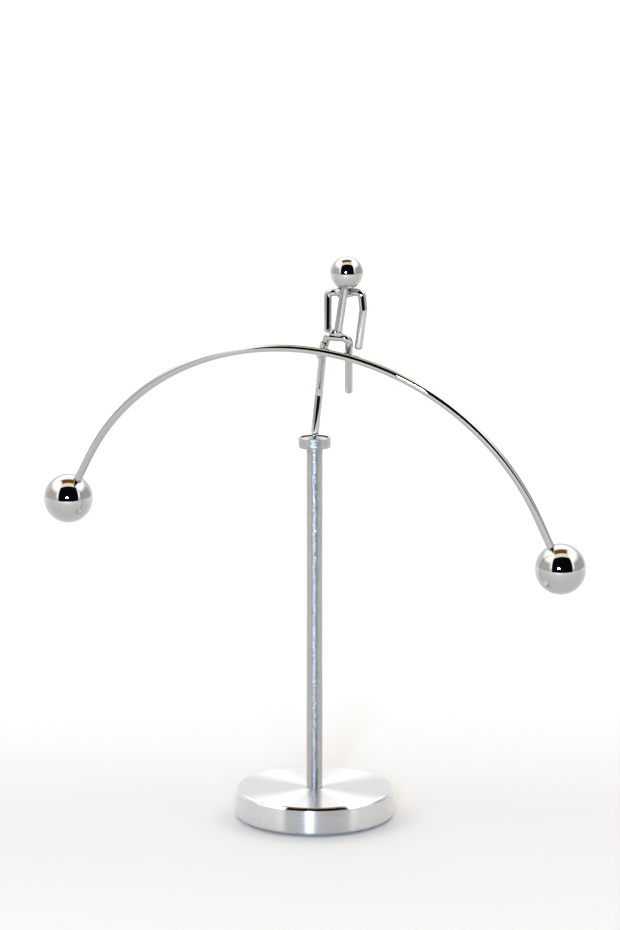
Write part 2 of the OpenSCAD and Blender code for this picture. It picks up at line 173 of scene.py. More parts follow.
class ToyFigureSizes(bpy.types.PropertyGroup):
    """Sizes, pose and colours of the wire figure, its arc and its balls."""

    wire_d: length("Wire", 3, "Diameter of every wire")
    wire_end: length("Wire end", 1, "Rounding of a wire's free end")
    tight_bend: length("Tight bend", 2, "Bend radius at the hip and the shoulders")
    slack_bend: length("Slack bend", 6, "Bend radius at the knee and the elbow")
    braze_gap: length("Braze gap", 0.1, "Gap that the braze fills between two wires")
    foot_d: length("Foot", 2, "Diameter of the foot's ball")
    foot_lip: length("Foot lip", 0.35, "Height of the leg's end above the middle of the foot's ball")
    foot_wall: length("Foot wall", 0.2, "Wall of the leg's end round the foot's ball")
    foot_taper: length("Foot taper", 1.3, "Length of the taper on the leg's end")
    shin_l: length("Shin", 17, "Standing leg from the foot to the knee")
    shin_right: angle("Shin right", -1.1, "Slant of the shin to the right")
    shin_back: angle("Shin back", 22.8, "Slant of the shin to the back")
    thigh_l: length("Thigh", 20.6, "Standing leg from the knee to its bend below the hip")
    thigh_right: angle("Thigh right", 10.9, "Slant of the thigh to the right")
    thigh_front: angle("Thigh front", 21, "Slant of the thigh to the front")
    hip_reach: length("Hip reach", 8.8, "Standing leg from that bend to the hip")
    hip_right: angle("Hip right", 18.8, "Slant of that stretch to the right")
    arc_at: length("Arc place", 5.4, "Distance down the standing leg from the hip to the arc")
    hip_w: length("Hip", 8.2, "Width of the hip")
    hip_rise: angle("Hip rise", 2.8, "Rise of the hip to the right")
    raised_leg_l: length("Raised leg", 26.6, "Raised leg from the hip to its end")
    raised_leg_left: angle("Raised leg left", 5.2, "Slant of the raised leg to the left on its way down")
    raised_leg_back: angle("Raised leg back", 17.9, "Slant of the raised leg to the back on its way down")
    torso_at: length("Torso place", 3.8, "Distance along the hip to the torso")
    torso_l: length("Torso", 23.9, "Torso from the hip to the middle of the head")
    torso_right: angle("Torso right", 3.8, "Slant of the torso to the right")
    torso_back: angle("Torso back", 15, "Slant of the torso to the back")
    shoulder_at: length("Shoulder place", 16.5, "Distance along the torso to the shoulders")
    shoulder_rise: angle("Shoulder rise", 6.9, "Rise of the shoulders to the right")
    left_shoulder: length("Left shoulder", 7.1, "Shoulder from the torso to the left arm")
    left_arm_l: length("Left arm", 14.8, "Left arm from the shoulder to its end")
    left_arm_right: angle("Left arm right", 6.1, "Slant of the left arm to the right on its way down")
    left_arm_front: angle("Left arm front", 18.6, "Slant of the left arm to the front on its way down")
    right_shoulder: length("Right shoulder", 5.8, "Shoulder from the torso to the right arm")
    upper_arm_l: length("Upper arm", 6.7, "Right arm from the shoulder to the elbow")
    upper_arm_right: angle("Upper arm right", 10.9, "Slant of the upper arm to the right on its way down")
    forearm_l: length("Forearm", 14.6, "Right arm from the elbow to its end")
    forearm_left: angle("Forearm left", 2.9, "Slant of the forearm to the left on its way down")
    right_arm_front: angle("Right arm front", 14.5, "Slant of the right arm to the front on its way down")
    arc_r: length("Arc radius", 97.5, "Bend radius of the arc")
    arc_half: angle("Arc half angle", 64.5, "Half of the angle that the arc bends through")
    arc_tail: length("Arc tail", 21.25, "Straight wire from the bend to the middle of a weight")
    arc_left: length("Arc left", 0.6, "How far the arc's top is left of the foot")
    weight_d: length("Weights", 19, "Diameter of the weights")
    weight_grip: length("Weight grip", 7, "How far the wire reaches into a weight")
    head_d: length("Head", 12, "Diameter of the head")
    head_grip: length("Head grip", 5, "How far the torso reaches into the head")
    hole_bevel: length("Hole bevel", 0.25, "Bevel at the mouth of a ball's hole")
    cross_bead: length("Bead", 1.9, "Radius of a braze bead between two crossed wires")
    small_bead: length("Small bead", 1.1, "Radius of a smaller bead beside a joint")
    small_step: length("Bead step", 2.4, "Distance of the smaller bead from its joint")
    bead_drop: length("Bead drop", 0.45, "How far the bead at the shoulders sits below their crossing")
    bead_grain: length("Bead grain", 1.3, "Size of the lumps on a braze bead")
    rest_roll: angle("Rest roll", 4.9576, "Tilt to the right at which the figure comes to rest")
    rest_lean: angle("Rest lean", 14.6748, "Tilt to the front at which the figure comes to rest")
    chrome_colour: colour("Chrome", "#BFBFBE", "Colour of the chrome plate")
    braze_colour: colour("Braze", "#BFBFC0", "Colour of the plated braze")
    steel_colour: colour("Steel", "#A4A7AB", "Colour of the seat, the screw and the washer")
    seed: IntProperty(name="Bead seed", description="Seed of the beads' lumps", default=7, min=0)


class ToyStageSizes(bpy.types.PropertyGroup):
    """The camera, the flash, the room and the floor."""

    yaw: angle("Camera yaw", 18.203, "Turn of the camera to the right of the figure")
    distance: length("Camera distance", 1125.86, "Level distance of the camera from the post")
    height: length("Camera height", 325.66, "Height of the camera")
    pitch: angle("Camera pitch", 9.603, "How far the camera looks down")
    heading: angle("Camera heading", -0.087, "How far the camera looks to the right of the post")
    focus_px: number("Focal length", 3060.9, "Focal length in pixels of the image")
    flash_d: length("Flash", 160, "Diameter of the flash")
    flash_left: length("Flash left", 138, "How far the flash is left of the camera")
    flash_up: length("Flash up", 45, "How far the flash is above the camera")
    flash_power: number("Flash power", 8.0, "Power of the flash in watts")
    flash_colour: colour("Flash colour", "#BFDAFF", "Colour of the flash")
    ceiling_w: length("Ceiling light", 3600, "Side of the square light that fills the floor from above")
    ceiling_z: length("Ceiling height", 2500, "Height of that light")
    ceiling_power: number("Ceiling power", 14.0, "Power of that light in watts")
    fill_w: length("Front light", 700, "Side of the square light that fills the floor from the front")
    fill_out: length("Front light distance", 2200, "Level distance of that light from the post")
    fill_z: length("Front light height", 700, "Height of that light")
    fill_power: number("Front power", 40.0, "Power of that light in watts")
    floor_front: length("Floor front", 900, "Floor in front of the toy")
    floor_back: length("Floor back", 2400, "Floor behind the toy")
    floor_side: length("Floor side", 2400, "Floor on each side of the toy")
    # The near and far floor colours paint a fall-off of light on the card: painted shade near the toy and in
    # front, white away from it
    floor_near_shade: colour("Floor near", "#C6C5C3", "Colour of the card under the toy and in front of it")
    floor_far: colour("Floor far", "#EAECEF", "Colour of the card away from the toy")
    floor_fade: length("Floor fade", 640, "Distance from the toy at which the card is palest")


# Shapes

def rounded_line(points, radii, step):
    """The points of a line with its inner corners rounded, one every few degrees of a bend."""
    line = [points[0]]
    for before, corner, after, radius in zip(points, points[1:], points[2:], radii):
        way_in = (corner - before).normalized()
        way_out = (after - corner).normalized()
        turn = way_in.angle(way_out)
        if radius == 0 or turn < STRAIGHT:
            line.append(corner)
            continue
        inward = (way_out - way_out.dot(way_in) * way_in).normalized()
        start = corner - radius * math.tan(turn / 2) * way_in
        middle = start + radius * inward
        count = max(2, math.ceil(math.degrees(turn) / step))
        for k in range(count + 1):
            a = turn * k / count
            line.append(middle + radius * (math.sin(a) * way_in - math.cos(a) * inward))
    line.append(points[-1])
    return line


def skinned(name, rings, closed=False):
    """A mesh object over rings of points, where a ring of one point is a pole."""
    mesh = bmesh.new()
    loops = [[mesh.verts.new(p) for p in ring] for ring in rings]
    pairs = list(zip(loops, loops[1:]))
    if closed:
        pairs.append((loops[-1], loops[0]))
    for low, high in pairs:
        count = max(len(low), len(high))
        for k in range(count):
            n = (k + 1) % count
            if len(low) == 1:
                corners = (low[0], high[n], high[k])
            elif len(high) == 1:
                corners = (low[k], low[n], high[0])
            else:
                corners = (low[k], low[n], high[n], high[k])
            mesh.faces.new(corners)
    bmesh.ops.recalc_face_normals(mesh, faces=mesh.faces)
    data = bpy.data.meshes.new(name)
    mesh.to_mesh(data)
    mesh.free()
    return shown(name, data)


def shown(name, data):
    """A smooth-shaded object of a mesh, with its real edges kept sharp."""
    data.shade_smooth()
    data.set_sharp_from_angle(angle=SHARP_ANGLE)
    piece = bpy.data.objects.new(name, data)
    bpy.context.scene.collection.objects.link(piece)
    return piece


def ring_round(middle, side, other, radius, sides):
    """A ring of points round a middle, or one point where the radius is nothing."""
    if radius < POINT_RADIUS:
        return [middle.copy()]
    turns = [2 * math.pi * k / sides for k in range(sides)]
    return [middle + radius * (math.cos(a) * side + math.sin(a) * other) for a in turns]


def turned(name, line, sides, place=None, closed=False):
    """A body turned about the Z axis from a line of (radius, height) points."""
    side, other, up = Vector((1, 0, 0)), Vector((0, 1, 0)), Vector((0, 0, 1))
    rings = [ring_round(up * z, side, other, r, sides) for r, z, *_ in line]
    if place is not None:
        rings = [[place @ p for p in ring] for ring in rings]
    return skinned(name, rings, closed)


def profile(points, radius):
    """A turned profile from (radius, height) pairs, with each inner corner rounded a little."""
    flat = [Vector((r, z, 0)) for r, z in points]
    return rounded_line(flat, [radius] * (len(flat) - 2), FILLET_STEP)


def swept(name, line, radius, first_cap, last_cap, place):
    """A round wire along a line. A cap is (along, radius) pairs, counted inwards from its end."""
    ways = [(b - a).normalized() for a, b in zip(line, line[1:])]
    stations = [(line[0] + along * ways[0], ways[0], r) for along, r in first_cap]
    for k in range(1, len(line) - 1):
        stations.append((line[k], (ways[k - 1] + ways[k]).normalized(), radius))
    stations += [(line[-1] - along * ways[-1], ways[-1], r) for along, r in reversed(last_cap)]
    side = ways[0].orthogonal().normalized()
    rings = []
    for middle, way, r in stations:
        side = (side - side.dot(way) * way).normalized()
        rings.append([place @ p for p in ring_round(middle, side, way.cross(side), r, WIRE_SIDES)])
    return skinned(name, rings)


def rounded_cap(radius, rounding):
    """The cap of a wire's free end, cut flat with its edge rounded."""
    core = radius - rounding
    steps = [math.radians(90 * k / CAP_STEPS) for k in range(CAP_STEPS + 1)]
    arc = [(rounding * (1 - math.cos(a)), core + rounding * math.sin(a)) for a in steps]
    return [(0.0, 0.0)] + arc


def aimed(right, back):
    """A direction in the figure's frame, given by its slants from upright."""
    return Vector((math.sin(right) * math.cos(back), math.sin(back), math.cos(right) * math.cos(back)))


def raised(rise):
    """A direction to the right in the figure's frame, rising by an angle."""
    return Vector((math.cos(rise), 0, math.sin(rise)))


class Stand:
    """Heights on the stand, worked out from its sizes."""

    def __init__(self, s):
        self.base_z = s.pad_proud
        self.base_top = self.base_z + s.base_h
        self.pad_top = s.pad_h
        self.socket_z = self.base_top - s.post_socket
        self.screw_seat = self.pad_top + s.screw_head_h + s.washer_h
        self.collar_z = self.base_top + s.post_reach
        self.collar_top = self.collar_z + s.collar_h
        self.seat_top = self.collar_top - s.recess
        self.spigot_top = self.seat_top - s.seat_h - s.turning_room


class Figure:
    """Points and directions of the figure in its own frame, where its foot is the origin."""

    def __init__(self, s, f):
        stand = Stand(s)
        self.wire_r = f.wire_d / 2
        self.cup_r = f.foot_d / 2 + s.turning_room
        pivot = Vector((0, 0, stand.seat_top + self.cup_r - s.dimple))
        lean = Matrix.Rotation(f.rest_lean, 4, "X")
        self.place = Matrix.Translation(pivot) @ lean @ Matrix.Rotation(f.rest_roll, 4, "Y")
        step = f.wire_d + f.braze_gap
        hip_dir = raised(f.hip_rise)
        self.reach_dir = aimed(f.hip_right, -f.thigh_front)
        self.knee = f.shin_l * aimed(f.shin_right, f.shin_back)
        self.thigh_bend = self.knee + f.thigh_l * aimed(f.thigh_right, -f.thigh_front)
        self.hip = self.thigh_bend + f.hip_reach * self.reach_dir
        self.hip_end = self.hip + f.hip_w * hip_dir
        self.raised_foot = self.hip_end - f.raised_leg_l * aimed(f.raised_leg_left, -f.raised_leg_back)
        self.torso_foot = self.hip + f.torso_at * hip_dir
        self.torso_dir = aimed(f.torso_right, f.torso_back)
        rise = self.wire_r * (1 + abs(hip_dir.dot(self.torso_dir))) + f.braze_gap
        self.torso_start = self.torso_foot + rise * self.torso_dir
        self.head = self.torso_foot + f.torso_l * self.torso_dir
        self.neck = self.head - f.head_d / 2 * self.torso_dir
        self.torso_end = self.neck + f.head_grip * self.torso_dir
        self.chest = self.torso_foot + f.shoulder_at * self.torso_dir
        self.shoulder_dir = raised(f.shoulder_rise)
        self.back = self.torso_dir.cross(self.shoulder_dir).normalized()
        self.left = self.torso_dir.cross(self.back)
        self.arms = self.chest + step * self.back
        self.left_shoulder = self.arms - f.left_shoulder * self.shoulder_dir
        self.left_hand = self.left_shoulder - f.left_arm_l * aimed(-f.left_arm_right, f.left_arm_front)
        self.right_shoulder = self.arms + f.right_shoulder * self.shoulder_dir
        self.elbow = self.right_shoulder - f.upper_arm_l * aimed(-f.upper_arm_right, f.right_arm_front)
        self.right_hand = self.elbow - f.forearm_l * aimed(f.forearm_left, f.right_arm_front)
        self.crossing = self.hip - f.arc_at * self.reach_dir
        self.front = Vector((1, 0, 0)).cross(self.reach_dir).normalized()
        self.touch = self.crossing + step * self.front
        off = self.touch.x + f.arc_left
        middle_z = self.touch.z - math.sqrt(f.arc_r ** 2 - off ** 2)
        self.arc_middle = Vector((-f.arc_left, self.touch.y, middle_z))

    def arc_end(self, f, side):
        """The end of the arc's bend on one side, and the direction of its straight tail."""
        out = Vector((side * math.sin(f.arc_half), 0, math.cos(f.arc_half)))
        way = Vector((side * math.cos(f.arc_half), 0, -math.sin(f.arc_half)))
        return self.arc_middle + f.arc_r * out, way

    def weight(self, f, side):
        """The middle of a weight, and the direction in which the wire enters it."""
        end, way = self.arc_end(f, side)
        return end + f.arc_tail * way, way


# Materials

def add_node(tree, kind, inputs=(), **settings):
    """Adds a node with its settings, and sets or links its inputs."""
    node = tree.nodes.new(kind)
    for key, value in settings.items():
        setattr(node, key, value)
    for key, value in dict(inputs).items():
        if isinstance(value, bpy.types.NodeSocket):
            tree.links.new(value, node.inputs[key])
        else:
            node.inputs[key].default_value = value
    return node


def new_material(name, base_colour, metallic, roughness):
    """A material, with its node tree and its shader."""
    made = bpy.data.materials.new(name)
    made.use_nodes = True
    shader = made.node_tree.nodes["Principled BSDF"]
    shader.inputs["Base Color"].default_value = (*base_colour, 1)
    shader.inputs["Metallic"].default_value = metallic
    shader.inputs["Roughness"].default_value = roughness
    return made, made.node_tree, shader


def chrome_plate(f):
    """Bright chrome plated over polished steel: a dark mirror with a faint orange peel and a little haze."""
    made, tree, shader = new_material("bright_chrome_plate", f.chrome_colour, 1.0, 0.03)
    peel_size = 1.6 * MM
    peel_depth = 0.006 * MM
    haze_size = 5 * MM
    place = add_node(tree, "ShaderNodeTexCoord").outputs["Object"]
    peel = add_node(tree, "ShaderNodeTexNoise", {"Vector": place, "Scale": 1 / peel_size, "Detail": 3.0})
    haze = add_node(tree, "ShaderNodeTexNoise", {"Vector": place, "Scale": 1 / haze_size, "Detail": 6.0})
    rough = add_node(tree, "ShaderNodeMapRange",
                     {"Value": haze.outputs["Fac"], "From Min": NOISE_LOW, "From Max": 0.75,
                      "To Min": 0.02, "To Max": 0.055})
    bump = add_node(tree, "ShaderNodeBump",
                    {"Height": peel.outputs["Fac"], "Strength": 0.4, "Distance": peel_depth})
    tree.links.new(rough.outputs["Result"], shader.inputs["Roughness"])
    tree.links.new(bump.outputs["Normal"], shader.inputs["Normal"])
    return made


def plated_braze(f):
    """Braze plated along with the wires: the same mirror over small frozen lumps, a little rougher."""
    made, tree, shader = new_material("plated_braze", f.braze_colour, 1.0, 0.07)
    lump_size = 0.5 * MM
    lump_depth = 0.05 * MM
    place = add_node(tree, "ShaderNodeTexCoord").outputs["Object"]
    lumps = add_node(tree, "ShaderNodeTexNoise", {"Vector": place, "Scale": 1 / lump_size, "Detail": 2.0})
    bump = add_node(tree, "ShaderNodeBump",
                    {"Height": lumps.outputs["Fac"], "Strength": 0.6, "Distance": lump_depth})
    rough = add_node(tree, "ShaderNodeMapRange",
                     {"Value": lumps.outputs["Fac"], "From Min": NOISE_LOW, "From Max": NOISE_HIGH,
                      "To Min": 0.04, "To Max": 0.14})
    tree.links.new(rough.outputs["Result"], shader.inputs["Roughness"])
    tree.links.new(bump.outputs["Normal"], shader.inputs["Normal"])
    return made


def turned_aluminium(name, base_colour, roughness, spread, drawn, mark, waver):
    """Aluminium with a fine lathe finish: each tool mark runs round the axis, so what it mirrors is sharp
    round the piece and drawn out along it. In a satin finish each mark also tips the metal to one side or
    the other, by a slope up to waver, which frays a highlight."""
    made, tree, shader = new_material(name, base_colour, 1.0, roughness)
    mark_depth = 0.02 * mark
    shader.inputs["Anisotropic"].default_value = drawn
    shader.inputs["Anisotropic Rotation"].default_value = QUARTER_TURN
    round_axis = add_node(tree, "ShaderNodeTangent", direction_type="RADIAL", axis="Z")
    place = add_node(tree, "ShaderNodeTexCoord").outputs["Object"]
    parts = add_node(tree, "ShaderNodeSeparateXYZ", {"Vector": place}).outputs
    across = add_node(tree, "ShaderNodeCombineXYZ", {"X": parts["X"], "Y": parts["Y"]})
    radius = add_node(tree, "ShaderNodeVectorMath", {0: across.outputs["Vector"]}, operation="LENGTH")
    groove = add_node(tree, "ShaderNodeCombineXYZ", {"X": radius.outputs["Value"], "Y": parts["Z"]})
    marks = add_node(tree, "ShaderNodeTexNoise",
                     {"Vector": groove.outputs["Vector"], "Scale": 1 / mark, "Detail": 4.0, "Roughness": 0.7},
                     noise_dimensions="2D")
    rough = add_node(tree, "ShaderNodeMapRange",
                     {"Value": marks.outputs["Fac"], "From Min": 0.25, "From Max": 0.75,
                      "To Min": roughness * (1 - spread), "To Max": roughness * (1 + spread)})
    bump = add_node(tree, "ShaderNodeBump",
                    {"Height": marks.outputs["Fac"], "Strength": 0.12, "Distance": mark_depth})
    tree.links.new(round_axis.outputs["Tangent"], shader.inputs["Tangent"])
    tree.links.new(rough.outputs["Result"], shader.inputs["Roughness"])
    tree.links.new(bump.outputs["Normal"], shader.inputs["Normal"])
    if waver:
        # Drawn longer and higher than the real marks, so that the frayed edge shows
        grain_length = 1.5 * MM
        flattening = 5.0
        squeeze = add_node(tree, "ShaderNodeVectorMath", {0: place, 1: (1.0, 1.0, flattening)},
                           operation="MULTIPLY")
        grain = add_node(tree, "ShaderNodeTexNoise",
                         {"Vector": squeeze.outputs["Vector"], "Scale": 1 / grain_length, "Detail": 2.0,
                          "Roughness": 0.7})
        tip = add_node(tree, "ShaderNodeMapRange",
                       {"Value": grain.outputs["Fac"], "From Min": NOISE_LOW, "From Max": NOISE_HIGH,
                        "To Min": -waver, "To Max": waver}, clamp=False)
        aside = add_node(tree, "ShaderNodeVectorMath",
                         {0: round_axis.outputs["Tangent"], "Scale": tip.outputs["Result"]},
                         operation="SCALE")
        leaning = add_node(tree, "ShaderNodeVectorMath",
                           {0: bump.outputs["Normal"], 1: aside.outputs["Vector"]}, operation="ADD")
        normal = add_node(tree, "ShaderNodeVectorMath", {0: leaning.outputs["Vector"]}, operation="NORMALIZE")
        tree.links.new(normal.outputs["Vector"], shader.inputs["Normal"])
    return made


def patchy_metal(name, base_colour, roughness, patch_size, smoothest, roughest):
    """A metal whose roughness drifts from patch to patch."""
    made, tree, shader = new_material(name, base_colour, 1.0, roughness)
    place = add_node(tree, "ShaderNodeTexCoord").outputs["Object"]
    patches = add_node(tree, "ShaderNodeTexNoise", {"Vector": place, "Scale": 1 / patch_size, "Detail": 3.0})
    rough = add_node(tree, "ShaderNodeMapRange",
                     {"Value": patches.outputs["Fac"], "From Min": NOISE_LOW, "From Max": NOISE_HIGH,
                      "To Min": smoothest, "To Max": roughest})
    tree.links.new(rough.outputs["Result"], shader.inputs["Roughness"])
    return made


def bright_cut_aluminium(s):
    """Aluminium cut bright by the last pass of the tool, on a bevel or a rim: nearly a mirror."""
    streak_size = 0.8 * MM
    return patchy_metal("bright_cut_aluminium", s.base_colour, 0.08, streak_size, 0.05, 0.12)


def painted_shade_bore(s):
    """The wall of a shallow bore: a dark metal with a patchy roughness, painted shade that makes a dark line
    in the recess.
    """
    patch_size = 0.6 * MM
    return patchy_metal("painted_shade_bore_aluminium", s.bore_shade_colour, 0.5, patch_size, 0.4, 0.6)


def ground_steel(f):
    """Hardened steel with a ground face: greyer than chrome, with a soft grain, drawn coarser to show."""
    grain_size = 0.3 * MM
    return patchy_metal("ground_steel", f.steel_colour, 0.3, grain_size, 0.24, 0.36)


def recut(piece, material, inner, outer, low, high):
    """Gives a turned piece's faces between two radii and two heights another finish."""
    piece.data.materials.append(material)
    for face in piece.data.polygons:
        if inner < face.center.xy.length < outer and low < face.center.z < high:
            face.material_index = len(piece.data.materials) - 1


def moulded_rubber(s):
    """Black rubber moulded against a blasted tool: matt, with a fine even grain."""
    made, tree, shader = new_material("moulded_rubber", s.pad_colour, 0.0, 0.8)
    grain_size = 0.4 * MM
    grain_depth = 0.06 * MM
    place = add_node(tree, "ShaderNodeTexCoord").outputs["Object"]
    grain = add_node(tree, "ShaderNodeTexNoise", {"Vector": place, "Scale": 1 / grain_size, "Detail": 2.0})
    bump = add_node(tree, "ShaderNodeBump",
                    {"Height": grain.outputs["Fac"], "Strength": 0.4, "Distance": grain_depth})
    rough = add_node(tree, "ShaderNodeMapRange",
                     {"Value": grain.outputs["Fac"], "From Min": NOISE_LOW, "From Max": NOISE_HIGH,
                      "To Min": 0.7, "To Max": 0.9})
    tree.links.new(rough.outputs["Result"], shader.inputs["Roughness"])
    tree.links.new(bump.outputs["Normal"], shader.inputs["Normal"])
    return made


def matt_card_painted_shade(g, towards):
    """Matt card under the toy with a barely seen tooth; its colour is painted shade: greyer near the toy and
    in front, fading to white round it and sooner behind.
    """
    made, tree, shader = new_material("matt_card_painted_shade", g.floor_near_shade, 0.0, 0.75)
    tooth_size = 0.8 * MM
    tooth_depth = 0.05 * MM
    share_round = 0.25
    share_behind = 1.2
    fade_start = 0.05 * g.floor_fade
    place = add_node(tree, "ShaderNodeTexCoord").outputs["Object"]
    away = add_node(tree, "ShaderNodeVectorMath", {0: place}, operation="LENGTH").outputs["Value"]
    around = add_node(tree, "ShaderNodeMath", {0: away, 1: share_round}, operation="MULTIPLY").outputs[0]
    behind = add_node(tree, "ShaderNodeVectorMath", {0: place, 1: -towards}, operation="DOT_PRODUCT")
    behind = add_node(tree, "ShaderNodeMath", {0: behind.outputs["Value"], 1: 0.0}, operation="MAXIMUM")
    reach = add_node(tree, "ShaderNodeMath", {0: behind.outputs[0], 1: share_behind, 2: around},
                     operation="MULTIPLY_ADD")
    # Painted shade: the card is greyer near the toy and in front, and whiter away from it
    fade = add_node(tree, "ShaderNodeMapRange",
                    {"Value": reach.outputs[0], "From Min": fade_start, "From Max": g.floor_fade})
    tone = add_node(tree, "ShaderNodeMix",
                    {"Factor": fade.outputs["Result"], MIX_A: (*g.floor_near_shade, 1), MIX_B: (*g.floor_far, 1)},
                    data_type="RGBA")
    tooth = add_node(tree, "ShaderNodeTexNoise", {"Vector": place, "Scale": 1 / tooth_size, "Detail": 2.0})
    bump = add_node(tree, "ShaderNodeBump",
                    {"Height": tooth.outputs["Fac"], "Strength": 0.05, "Distance": tooth_depth})
    tree.links.new(tone.outputs[MIX_RESULT], shader.inputs["Base Color"])
    tree.links.new(bump.outputs["Normal"], shader.inputs["Normal"])
    return made


def finish_piece(piece, material, body, node):
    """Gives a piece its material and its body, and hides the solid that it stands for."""
    piece.data.materials.append(material)
    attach(piece, body)
    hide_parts(node)


# Operators

class TOY_OT_base(bpy.types.Operator):
    """Turns the base disc."""

    bl_idname = "toy.base"
    bl_label = "Base disc"

    def execute(self, context):
        s = context.scene.toy_stand
        h = Stand(s)
        base_r = s.base_d / 2
        bevel = s.base_bevel
        # The top bevel is two narrow flats that meet in a faint corner
        top_w = 0.9 * bevel
        top_h = 1.1 * bevel
        corner = (base_r - 0.6 * top_w, h.base_top - 0.25 * top_h)
        post_r = s.post_d / 2
        pad_r = s.pad_d / 2 + s.pad_room
        washer_r = s.washer_d / 2 + s.pad_room
        screw_r = s.screw_d / 2 + s.pad_room
        socket_r = post_r + s.fixed_room
        start = ((pad_r + base_r - bevel) / 2, h.base_z)
        line = profile([
            start, (base_r - bevel, h.base_z), (base_r, h.base_z + bevel), (base_r, h.base_top - top_h),
            corner, (base_r - top_w, h.base_top), (post_r + s.mouth_bevel, h.base_top),
            (socket_r, h.base_top - s.mouth_bevel), (socket_r, h.socket_z), (screw_r, h.socket_z),
            (screw_r, h.screw_seat), (washer_r, h.screw_seat), (washer_r, h.pad_top), (pad_r, h.pad_top),
            (pad_r, h.base_z), start,
        ], s.fillet)
        piece = turned("turned_base", line[:-1], TURNED_SIDES, closed=True)
        metal = turned_aluminium("lathe_turned_aluminium", s.base_colour, roughness=0.29, spread=0.1,
                                 drawn=1.0, mark=s.tool_mark, waver=0.0)
        finish_piece(piece, metal, "stand", "base_disc")
        recut(piece, bright_cut_aluminium(s), base_r - top_w + s.fillet / 4, base_r + s.fillet,
              h.base_top - top_h, h.base_top + s.fillet)
        return {"FINISHED"}


class TOY_OT_pad(bpy.types.Operator):
    """Moulds the non-slip pad under the base."""

    bl_idname = "toy.pad"
    bl_label = "Non-slip pad"

    def execute(self, context):
        s = context.scene.toy_stand
        pad_r = s.pad_d / 2
        line = profile([(0, 0), (pad_r, 0), (pad_r, s.pad_h), (0, s.pad_h)], 2 * s.fillet)
        piece = turned("moulded_pad", line, TURNED_SIDES)
        finish_piece(piece, moulded_rubber(s), "stand", "base_pad")
        return {"FINISHED"}


class TOY_OT_post(bpy.types.Operator):
    """Turns the post and the collar on top of it."""

    bl_idname = "toy.post"
    bl_label = "Post and collar"

    def execute(self, context):
        s = context.scene.toy_stand
        h = Stand(s)
        post_r = s.post_d / 2
        seat_r = s.seat_d / 2
        hole_r = s.screw_d / 2 + s.fixed_room
        hole_spare = 1 * MM
        hole_top = h.screw_seat + s.screw_l + hole_spare
        line = profile([
            (0, hole_top), (hole_r, hole_top), (hole_r, h.socket_z), (post_r, h.socket_z),
            (post_r, h.collar_z), (seat_r, h.collar_z), (seat_r, h.spigot_top), (0, h.spigot_top),
        ], s.fillet / 2)
        satin = turned_aluminium("satin_turned_aluminium", s.post_colour, roughness=0.4, spread=0.35,
                                 drawn=0.93, mark=s.tool_mark, waver=0.28)
        finish_piece(turned("turned_post", line, TURNED_SIDES), satin, "stand", "post")

        collar_r = s.collar_d / 2
        bevel = s.collar_bevel
        recess_r = collar_r - s.rim_w
        recess_lean = 0.15 * s.recess
        fine_fillet = s.fillet / 12
        spigot_r = seat_r + s.fixed_room
        room_r = seat_r + s.turning_room
        start = ((spigot_r + collar_r) / 2, h.collar_z)
        line = profile([
            start, (collar_r - bevel, h.collar_z), (collar_r, h.collar_z + bevel),
            (collar_r, h.collar_top - bevel), (collar_r - bevel, h.collar_top), (recess_r, h.collar_top),
            (recess_r - recess_lean, h.seat_top), (room_r, h.seat_top), (room_r, h.spigot_top),
            (spigot_r, h.spigot_top), (spigot_r, h.collar_z), start,
        ], fine_fillet)
        piece = turned("turned_collar", line[:-1], TURNED_SIDES, closed=True)
        finish_piece(piece, satin, "stand", "collar")
        bright = bpy.data.materials["bright_cut_aluminium"]
        recut(piece, bright, room_r, collar_r - bevel, h.seat_top - s.fillet, h.collar_top + s.fillet)
        # The recess wall gets the dark metal: painted shade in the corner of the recess
        wall_r = recess_r - 0.2 * s.recess
        recut(piece, painted_shade_bore(s), wall_r, recess_r, h.seat_top, h.collar_top - fine_fillet)
        return {"FINISHED"}


